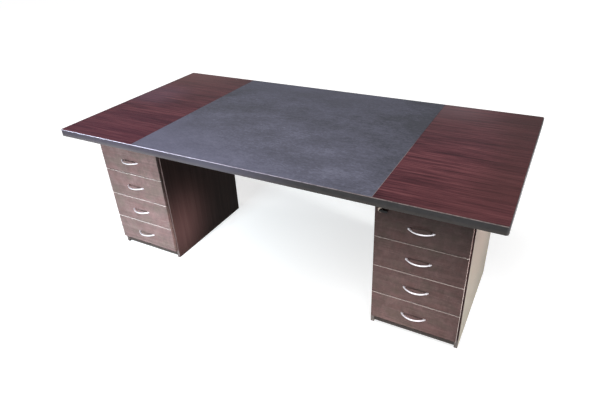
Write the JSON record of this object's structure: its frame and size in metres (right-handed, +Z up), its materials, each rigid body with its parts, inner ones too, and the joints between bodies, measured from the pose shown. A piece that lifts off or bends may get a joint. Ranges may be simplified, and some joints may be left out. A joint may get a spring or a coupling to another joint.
{
  "type": "partners desk",
  "caption": "Long desk with red-brown wood ends, a charcoal writing inlay and dark edge trim on drawer pedestals with silver bow handles and an open kneehole.",
  "frame": {"origin": "on the floor under the middle of the top", "axes": "+X along the desk to the right of a person facing the drawers, +Y from the drawers to the back, +Z up"},
  "size_m": [2.2, 1.08, 0.75],
  "materials": {
    "end_veneer": "satin red-brown veneer, grain along the desk",
    "inlay": "charcoal leathercloth, fine grain, faint scuffs",
    "edge_trim": "dark grey edging, satin",
    "core_board": "particle board with a dark backing sheet below",
    "carcass": "dark walnut laminate, upright grain, satin",
    "drawer_front": "dark walnut laminate, satin",
    "drawer_box": "pale grey melamine board",
    "runner_enamel": "white epoxy-coated steel with nylon rollers",
    "handle_metal": "satin chrome on cast metal",
    "lock_metal": "nickel-plated",
    "key_plastic": "black moulded key bow",
    "steel_screws": "zinc-plated"
  },
  "bodies": {
    "desk": {"top_core": "core_board", "top_edge_trim": "edge_trim", "left_end_panel": "end_veneer", "writing_inlay": "inlay", "right_end_panel": "end_veneer", "top_screws": "steel_screws", "left_outer_side": "carcass", "left_inner_side": "carcass", "left_base_board": "carcass", "left_back_panel": "carcass", "left_deck": "carcass", "left_fascia": "drawer_front", "left_fixed_runners": "runner_enamel", "right_outer_side": "carcass", "right_inner_side": "carcass", "right_base_board": "carcass", "right_back_panel": "carcass", "right_deck": "carcass", "right_fascia": "drawer_front", "right_fixed_runners": "runner_enamel"},
    "left_drawer_4": {"left_drawer_4_front": "drawer_front", "left_drawer_4_box": "drawer_box", "left_drawer_4_handle": "handle_metal", "left_drawer_4_rails": "runner_enamel"},
    "left_drawer_3": {"left_drawer_3_front": "drawer_front", "left_drawer_3_box": "drawer_box", "left_drawer_3_handle": "handle_metal", "left_drawer_3_rails": "runner_enamel"},
    "left_drawer_2": {"left_drawer_2_front": "drawer_front", "left_drawer_2_box": "drawer_box", "left_drawer_2_handle": "handle_metal", "left_drawer_2_rails": "runner_enamel"},
    "left_drawer_1": {"left_drawer_1_front": "drawer_front", "left_drawer_1_box": "drawer_box", "left_drawer_1_handle": "handle_metal", "left_drawer_1_rails": "runner_enamel"},
    "right_drawer_4": {"right_drawer_4_front": "drawer_front", "right_drawer_4_box": "drawer_box", "right_drawer_4_handle": "handle_metal", "right_drawer_4_rails": "runner_enamel"},
    "right_drawer_3": {"right_drawer_3_front": "drawer_front", "right_drawer_3_box": "drawer_box", "right_drawer_3_handle": "handle_metal", "right_drawer_3_rails": "runner_enamel"},
    "right_drawer_2": {"right_drawer_2_front": "drawer_front", "right_drawer_2_box": "drawer_box", "right_drawer_2_handle": "handle_metal", "right_drawer_2_rails": "runner_enamel"},
    "right_drawer_1": {"right_drawer_1_front": "drawer_front", "right_drawer_1_box": "drawer_box", "right_drawer_1_handle": "handle_metal", "right_drawer_1_rails": "runner_enamel", "lock_barrel": "lock_metal"},
    "lock_turn": {"lock_plug": "lock_metal", "lock_cam": "lock_metal", "lock_key": "key_plastic"}
  },
  "joints": [
    {"name": "left_drawer_4_slide", "type": "slide", "parent": "desk", "child": "left_drawer_4", "axis": [0, -1, 0], "range_m": [0, 0.375]},
    {"name": "left_drawer_3_slide", "type": "slide", "parent": "desk", "child": "left_drawer_3", "axis": [0, -1, 0], "range_m": [0, 0.375]},
    {"name": "left_drawer_2_slide", "type": "slide", "parent": "desk", "child": "left_drawer_2", "axis": [0, -1, 0], "range_m": [0, 0.375]},
    {"name": "left_drawer_1_slide", "type": "slide", "parent": "desk", "child": "left_drawer_1", "axis": [0, -1, 0], "range_m": [0, 0.375]},
    {"name": "right_drawer_4_slide", "type": "slide", "parent": "desk", "child": "right_drawer_4", "axis": [0, -1, 0], "range_m": [0, 0.375]},
    {"name": "right_drawer_3_slide", "type": "slide", "parent": "desk", "child": "right_drawer_3", "axis": [0, -1, 0], "range_m": [0, 0.375]},
    {"name": "right_drawer_2_slide", "type": "slide", "parent": "desk", "child": "right_drawer_2", "axis": [0, -1, 0], "range_m": [0, 0.375]},
    {"name": "right_drawer_1_slide", "type": "slide", "parent": "desk", "child": "right_drawer_1", "axis": [0, -1, 0], "range_m": [0, 0.375]},
    {"name": "lock_turn_hinge", "type": "hinge", "parent": "right_drawer_1", "child": "lock_turn", "pos_m": [0.609, -0.425, 0.631], "axis": [0, -1, 0], "range_deg": [0, 90]}
  ]
}
